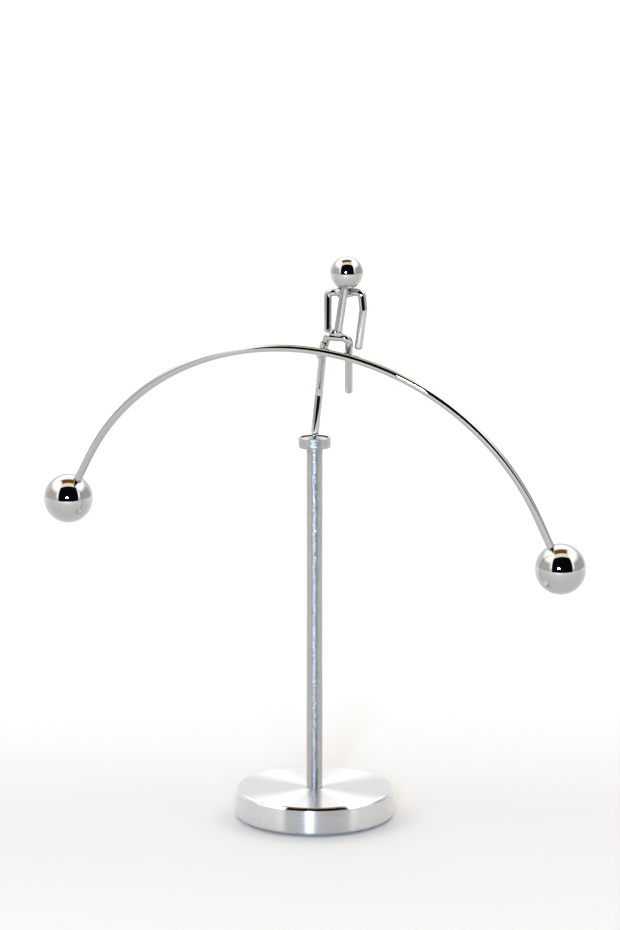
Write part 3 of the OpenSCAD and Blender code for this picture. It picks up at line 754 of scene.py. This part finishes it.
class TOY_OT_wires(bpy.types.Operator):
    """Bends the legs, the arms and the arc, and cuts the torso."""

    bl_idname = "toy.wires"
    bl_label = "Wires"

    def execute(self, context):
        s = context.scene.toy_stand
        f = context.scene.toy_figure
        p = Figure(s, f)
        r = p.wire_r
        round_end = rounded_cap(r, f.wire_end)
        cut_end = [(0.0, 0.0), (0.0, r)]
        chrome = bpy.data.materials["bright_chrome_plate"]

        lip_r = math.sqrt(p.cup_r ** 2 - f.foot_lip ** 2)
        low = math.asin(f.foot_lip / p.cup_r)
        cup_turns = [math.pi / 2 + (low - math.pi / 2) * k / CUP_STEPS for k in range(CUP_STEPS + 1)]
        foot_cap = [(p.cup_r * math.sin(a), p.cup_r * math.cos(a)) for a in cup_turns]
        foot_cap += [(f.foot_lip, lip_r + f.foot_wall), (f.foot_lip + f.foot_taper, r)]
        line = rounded_line(
            [Vector((0, 0, 0)), p.knee, p.thigh_bend, p.hip, p.hip_end, p.raised_foot],
            [f.slack_bend, f.slack_bend, f.tight_bend, f.tight_bend], BEND_STEP)
        legs = swept("bent_legs", line, r, foot_cap, round_end, p.place)
        finish_piece(legs, chrome, "figure", "legs")

        torso = swept("cut_torso", [p.torso_start, p.torso_end], r, cut_end, cut_end, p.place)
        finish_piece(torso, chrome, "figure", "torso")

        line = rounded_line(
            [p.left_hand, p.left_shoulder, p.right_shoulder, p.elbow, p.right_hand],
            [f.tight_bend, f.tight_bend, f.slack_bend], BEND_STEP)
        arms = swept("bent_arms", line, r, round_end, round_end, p.place)
        finish_piece(arms, chrome, "figure", "arms")

        grip = f.arc_tail - f.weight_d / 2 + f.weight_grip
        left_end, left_way = p.arc_end(f, -1)
        right_end, right_way = p.arc_end(f, 1)
        line = [left_end + grip * left_way]
        for k in range(ARC_STEPS + 1):
            a = f.arc_half * (2 * k / ARC_STEPS - 1)
            line.append(p.arc_middle + f.arc_r * Vector((math.sin(a), 0, math.cos(a))))
        line.append(right_end + grip * right_way)
        arc = swept("bent_arc", line, r, cut_end, cut_end, p.place)
        finish_piece(arc, chrome, "figure", "balance_arc")
        return {"FINISHED"}


class TOY_OT_balls(bpy.types.Operator):
    """Drills the head and the two weights."""

    bl_idname = "toy.balls"
    bl_label = "Head and weights"

    def execute(self, context):
        s = context.scene.toy_stand
        f = context.scene.toy_figure
        p = Figure(s, f)
        chrome = bpy.data.materials["bright_chrome_plate"]
        hole_r = p.wire_r + s.fixed_room
        mouth_r = hole_r + f.hole_bevel
        left, left_way = p.weight(f, -1)
        right, right_way = p.weight(f, 1)
        balls = [
            ("drilled_head", "head", p.head, p.torso_dir, f.head_d, f.head_grip),
            ("drilled_left_weight", "left_weight", left, left_way, f.weight_d, f.weight_grip),
            ("drilled_right_weight", "right_weight", right, right_way, f.weight_d, f.weight_grip),
        ]
        for name, node, middle, way, ball_d, grip in balls:
            ball_r = ball_d / 2
            last = math.acos(mouth_r / ball_r)
            turns = [-math.pi / 2 + (last + math.pi / 2) * k / BALL_RINGS for k in range(BALL_RINGS + 1)]
            line = [(ball_r * math.cos(a), ball_r * math.sin(a)) for a in turns]
            line[0] = (0.0, -ball_r)
            mouth_z = line[-1][1]
            floor_z = ball_r - grip - s.fixed_room
            line += [(hole_r, mouth_z - f.hole_bevel), (hole_r, floor_z), (0.0, floor_z)]
            turn = (-way).to_track_quat("Z", "Y").to_matrix().to_4x4()
            place = p.place @ Matrix.Translation(middle) @ turn
            finish_piece(turned(name, line, BALL_SIDES, place), chrome, "figure", node)
        return {"FINISHED"}


class TOY_OT_braze(bpy.types.Operator):
    """Lays the lumpy braze where wires meet."""

    bl_idname = "toy.braze"
    bl_label = "Braze"

    def execute(self, context):
        s = context.scene.toy_stand
        f = context.scene.toy_figure
        p = Figure(s, f)
        r = p.wire_r
        half = (f.wire_d + f.braze_gap) / 2
        big, small, step = f.cross_bead, f.small_bead, f.small_step
        along, front = p.reach_dir, p.front
        aside = front.cross(along)
        run = 0.7 * r
        hip_seat = p.torso_foot + r * p.torso_dir
        joints = [
            ("arc_braze_bead", "arc_braze", [
                (p.crossing + half * front, big),
                (p.crossing - step * along + r / 2 * front, small),
                (p.crossing - 1.3 * step * along + run * front + run * aside, 1.3 * small),
                (p.crossing - 2.1 * step * along + 1.2 * run * front + 0.8 * run * aside, small),
                (p.crossing + 0.9 * step * along + run * front + run * aside, 0.8 * small)]),
            ("hip_braze_bead", "hip_braze", [
                (hip_seat, big),
                (hip_seat + 1.5 * run * p.left - run * p.back, small),
                (hip_seat - 1.5 * run * p.left - run * p.back, 0.8 * small)]),
            ("shoulder_braze_bead", "shoulder_braze", [
                (p.chest - f.bead_drop * p.torso_dir + half * p.back, big),
                (p.arms - step * p.shoulder_dir - r / 2 * p.back, small),
                (p.arms - 1.2 * step * p.shoulder_dir - 1.1 * r * p.back, small),
                (p.arms - 0.9 * step * p.shoulder_dir - run * p.back - run * p.torso_dir, 0.8 * small),
                (p.arms + step * p.shoulder_dir - run * p.back - run * p.torso_dir, 0.8 * small)]),
            ("neck_braze_bead", "neck_braze", [
                (p.neck + r * p.left, small),
                (p.neck + r * p.left - run * p.back - 0.3 * r * p.torso_dir, 0.9 * small)]),
        ]
        metal = plated_braze(f)
        for number, (name, node, beads) in enumerate(joints):
            data = self.lumps(name, beads, random.Random(f.seed + number), f.bead_grain)
            data.transform(p.place @ Matrix.Scale(MM, 4))
            finish_piece(shown(name, data), metal, "figure", node)
        return {"FINISHED"}

    def lumps(self, name, beads, draw, grain):
        """One lumpy mesh, in millimetres, round the beads of a joint."""
        mesh = bmesh.new()
        first, first_radius = beads[0]
        for middle, radius in beads:
            blobs = [(middle / MM, CORE_SHARE * radius / MM)]
            for part in BRIDGE_PARTS:
                size = (1 - part) * first_radius + part * radius
                blobs.append((first.lerp(middle, part) / MM, CORE_SHARE * size / MM))
            for _ in range(LUMP_COUNT):
                way = Vector([draw.uniform(-1, 1) for _ in range(3)]).normalized()
                size = draw.uniform(*LUMP_SHARES) * radius / MM
                blobs.append((middle / MM + LUMP_OUT * radius / MM * way, size))
            for place, size in blobs:
                bmesh.ops.create_icosphere(mesh, subdivisions=BLOB_FINENESS, radius=size,
                                           matrix=Matrix.Translation(place))
        rough = bpy.data.meshes.new(name + "_rough")
        mesh.to_mesh(rough)
        mesh.free()
        source = bpy.data.objects.new(name + "_rough", rough)
        bpy.context.scene.collection.objects.link(source)
        remesh = source.modifiers.new("one_skin", "REMESH")
        remesh.mode = "VOXEL"
        remesh.voxel_size = BRAZE_VOXEL
        soften = source.modifiers.new("melted", "SMOOTH")
        soften.factor = BRAZE_SOFTENING
        soften.iterations = BRAZE_PASSES
        depsgraph = bpy.context.evaluated_depsgraph_get()
        data = bpy.data.meshes.new_from_object(source.evaluated_get(depsgraph))
        bpy.data.objects.remove(source)
        data.name = name
        for vertex, normal in zip(data.vertices, [v.normal.copy() for v in data.vertices]):
            swell = noise.noise(vertex.co * MM / grain)
            vertex.co += BRAZE_SWELL * swell * normal
        return data


class TOY_OT_small_parts(bpy.types.Operator):
    """Finishes the small solids that stay as they are: the foot, its seat, the screw and the washer."""

    bl_idname = "toy.small_parts"
    bl_label = "Foot, seat and screw"

    def execute(self, context):
        f = context.scene.toy_figure
        steel = ground_steel(f)
        chrome = chrome_plate(f)
        for node in ("pivot_seat", "post_screw", "screw_washer"):
            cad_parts[node].material_slots[0].material = steel
        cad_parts["foot_point"].material_slots[0].material = chrome
        return {"FINISHED"}


class TOY_OT_stage(bpy.types.Operator):
    """Sets the floor, the room's light, the flash and the camera."""

    bl_idname = "toy.stage"
    bl_label = "Stage"

    def execute(self, context):
        g = context.scene.toy_stage
        context.scene.view_settings.view_transform = "Standard"
        towards = Vector((math.sin(g.yaw), -math.cos(g.yaw), 0))
        right = Vector((math.cos(g.yaw), math.sin(g.yaw), 0))
        up = Vector((0, 0, 1))
        camera = self.camera(context, g, towards, right)
        self.flash(context, g, camera, right, up)
        over = Vector((0, 0, g.ceiling_z)) - g.ceiling_w / 4 * towards
        self.soft_light(context, "ceiling_light", g.ceiling_w, g.ceiling_power, over, -up)
        before = g.fill_out * towards + g.fill_z * up
        self.soft_light(context, "front_light", g.fill_w, g.fill_power, before, -before)
        self.floor(g, towards, right)
        self.room(context, towards, right)
        return {"FINISHED"}

    def camera(self, context, g, towards, right):
        """The camera, at the photo's place and angle."""
        data = bpy.data.cameras.new("photo_camera")
        data.sensor_width = SENSOR
        data.lens = g.focus_px * SENSOR / IMAGE_HEIGHT
        camera = bpy.data.objects.new("photo_camera", data)
        context.scene.collection.objects.link(camera)
        camera.location = g.distance * towards + Vector((0, 0, g.height))
        ahead = right * math.sin(g.heading) - towards * math.cos(g.heading)
        aim = ahead * math.cos(g.pitch) - Vector((0, 0, math.sin(g.pitch)))
        camera.rotation_mode = "QUATERNION"
        camera.rotation_quaternion = aim.to_track_quat("-Z", "Y")
        context.scene.camera = camera
        return camera

    def flash(self, context, g, camera, right, up):
        """A small cool flash beside the camera."""
        data = bpy.data.lights.new("flash", "AREA")
        data.shape = "DISK"
        data.size = g.flash_d
        data.energy = g.flash_power
        data.color = g.flash_colour
        lamp = bpy.data.objects.new("flash", data)
        context.scene.collection.objects.link(lamp)
        lamp.location = camera.location - g.flash_left * right + g.flash_up * up
        lamp.rotation_mode = "QUATERNION"
        toy_middle = Vector((0, 0, 120 * MM))
        lamp.rotation_quaternion = (toy_middle - lamp.location).to_track_quat("-Z", "Y")

    def soft_light(self, context, name, size, power, place, aim):
        """A soft light for the floor and other matt things alone, as the metal mirrors the room itself."""
        data = bpy.data.lights.new(name, "AREA")
        data.size = size
        data.energy = power
        lamp = bpy.data.objects.new(name, data)
        context.scene.collection.objects.link(lamp)
        lamp.location = place
        lamp.rotation_mode = "QUATERNION"
        lamp.rotation_quaternion = aim.to_track_quat("-Z", "Y")
        lamp.visible_glossy = False
        lamp.visible_camera = False

    def floor(self, g, towards, right):
        """A flat sheet of card that the toy stands on."""
        corners = [
            g.floor_front * towards - g.floor_side * right, g.floor_front * towards + g.floor_side * right,
            g.floor_side * right - g.floor_back * towards, -g.floor_side * right - g.floor_back * towards,
        ]
        data = bpy.data.meshes.new("card_floor")
        data.from_pydata(corners, [], [(0, 1, 2, 3)])
        data.materials.append(matt_card_painted_shade(g, towards))
        floor = bpy.data.objects.new("card_floor", data)
        bpy.context.scene.collection.objects.link(floor)

    def room(self, context, towards, right):
        """A white room: bright ceiling, greyer sides, a dark opening with bright edges in front and a strip
        of wood above it. The camera itself sees a plain backdrop.
        """
        askew = math.radians(4)
        ahead = towards * math.cos(askew) + right * math.sin(askew)
        aside = right * math.cos(askew) - towards * math.sin(askew)
        world = bpy.data.worlds.new("white_room")
        context.scene.world = world
        world.use_nodes = True
        tree = world.node_tree
        tree.nodes.clear()
        way = add_node(tree, "ShaderNodeTexCoord").outputs["Generated"]
        front = add_node(tree, "ShaderNodeVectorMath", {0: way, 1: ahead},
                         operation="DOT_PRODUCT").outputs["Value"]
        side = add_node(tree, "ShaderNodeVectorMath", {0: way, 1: aside},
                        operation="DOT_PRODUCT").outputs["Value"]
        up = add_node(tree, "ShaderNodeSeparateXYZ", {0: way}).outputs["Z"]
        off = add_node(tree, "ShaderNodeMath", {0: side}, operation="ABSOLUTE").outputs[0]

        # How far a direction is inside the opening's sides and under its head
        half_width = 1.08
        widening = 0.19
        head_slope = 0.42
        jamb = add_node(tree, "ShaderNodeMath", {0: up, 1: widening}, operation="MULTIPLY").outputs[0]
        jamb = add_node(tree, "ShaderNodeMath", {0: front, 1: half_width, 2: jamb}, operation="MULTIPLY_ADD")
        inside = add_node(tree, "ShaderNodeMath", {0: jamb.outputs[0], 1: off},
                          operation="SUBTRACT").outputs[0]
        under = add_node(tree, "ShaderNodeMath", {0: up, 1: -head_slope, 2: front},
                         operation="MULTIPLY_ADD").outputs[0]

        # Each mask rises from 0 to 1 between two values of a measure
        ramps = {
            "left_side": (side, -0.74, -0.92),
            "right_side": (side, 0.66, 0.86),
            "ceiling": (up, 0.42, 0.68),
            "edge": (inside, -0.29, -0.17),
            "edge_foot": (up, 0.02, 0.24),
            "glow_sides": (off, 0.5, 0.42),
            "glow_far": (front, -0.5, -0.42),
            "strip_sides": (off, 0.38, 0.34),
            "strip_near": (front, 0.1, 0.06),
            "strip_far": (front, -0.36, -0.31),
            "overhead": (up, 0.0, 0.1),
            "opening_sides": (inside, -0.012, 0.012),
            "opening_head": (under, -0.012, 0.012),
            "opening_sill": (up, -0.128, -0.116),
        }
        masks = {"seen": add_node(tree, "ShaderNodeLightPath").outputs["Is Camera Ray"]}
        for name, (measure, start, end) in ramps.items():
            ramp = add_node(tree, "ShaderNodeMapRange",
                            {"Value": measure, "From Min": start, "From Max": end})
            masks[name] = ramp.outputs["Result"]

        # Each surface covers those before it, where all of its masks are 1
        surfaces = [
            (LEFT_WALL, ["left_side"]),
            (RIGHT_WALL, ["right_side"]),
            (CEILING, ["ceiling"]),
            (LIT_EDGE, ["edge", "edge_foot"]),
            (WARM_GLOW, ["glow_sides", "glow_far", "overhead"]),
            (WOOD, ["strip_sides", "strip_near", "strip_far", "overhead"]),
            (DARK, ["opening_sides", "opening_head", "opening_sill"]),
            (BACKDROP, ["seen"]),
        ]
        light = WALL
        for brightness, names in surfaces:
            cover = masks[names[0]]
            for name in names[1:]:
                cover = add_node(tree, "ShaderNodeMath", {0: cover, 1: masks[name]},
                                 operation="MULTIPLY").outputs[0]
            light = add_node(tree, "ShaderNodeMix", {0: cover, MIX_A: light, MIX_B: brightness},
                             data_type="RGBA").outputs[MIX_RESULT]
        background = add_node(tree, "ShaderNodeBackground", {"Color": light, "Strength": 1.0})
        add_node(tree, "ShaderNodeOutputWorld", {"Surface": background.outputs[0]})


class TOY_PT_panel(bpy.types.Panel):
    """The toy's operators and sizes in the sidebar."""

    bl_idname = "TOY_PT_panel"
    bl_label = "Balancing toy"
    bl_space_type = "VIEW_3D"
    bl_region_type = "UI"
    bl_category = "Toy"

    def draw(self, context):
        for operator in OPERATORS:
            self.layout.operator(operator.bl_idname)
        for group in (context.scene.toy_stand, context.scene.toy_figure, context.scene.toy_stage):
            box = self.layout.box()
            for name in group.__annotations__:
                box.prop(group, name)


GROUPS = {"toy_stand": ToyStandSizes, "toy_figure": ToyFigureSizes, "toy_stage": ToyStageSizes}
OPERATORS = (TOY_OT_small_parts, TOY_OT_base, TOY_OT_pad, TOY_OT_post, TOY_OT_wires, TOY_OT_balls,
             TOY_OT_braze, TOY_OT_stage)


def register():
    for name, group in GROUPS.items():
        bpy.utils.register_class(group)
        setattr(bpy.types.Scene, name, PointerProperty(type=group))
    for operator in OPERATORS:
        bpy.utils.register_class(operator)
    bpy.utils.register_class(TOY_PT_panel)


def unregister():
    bpy.utils.unregister_class(TOY_PT_panel)
    for operator in reversed(OPERATORS):
        bpy.utils.unregister_class(operator)
    for name, group in GROUPS.items():
        delattr(bpy.types.Scene, name)
        bpy.utils.unregister_class(group)


def main():
    register()
    bpy.ops.toy.small_parts()
    bpy.ops.toy.base()
    bpy.ops.toy.pad()
    bpy.ops.toy.post()
    bpy.ops.toy.wires()
    bpy.ops.toy.balls()
    bpy.ops.toy.braze()
    bpy.ops.toy.stage()


if __name__ == "__main__":
    main()
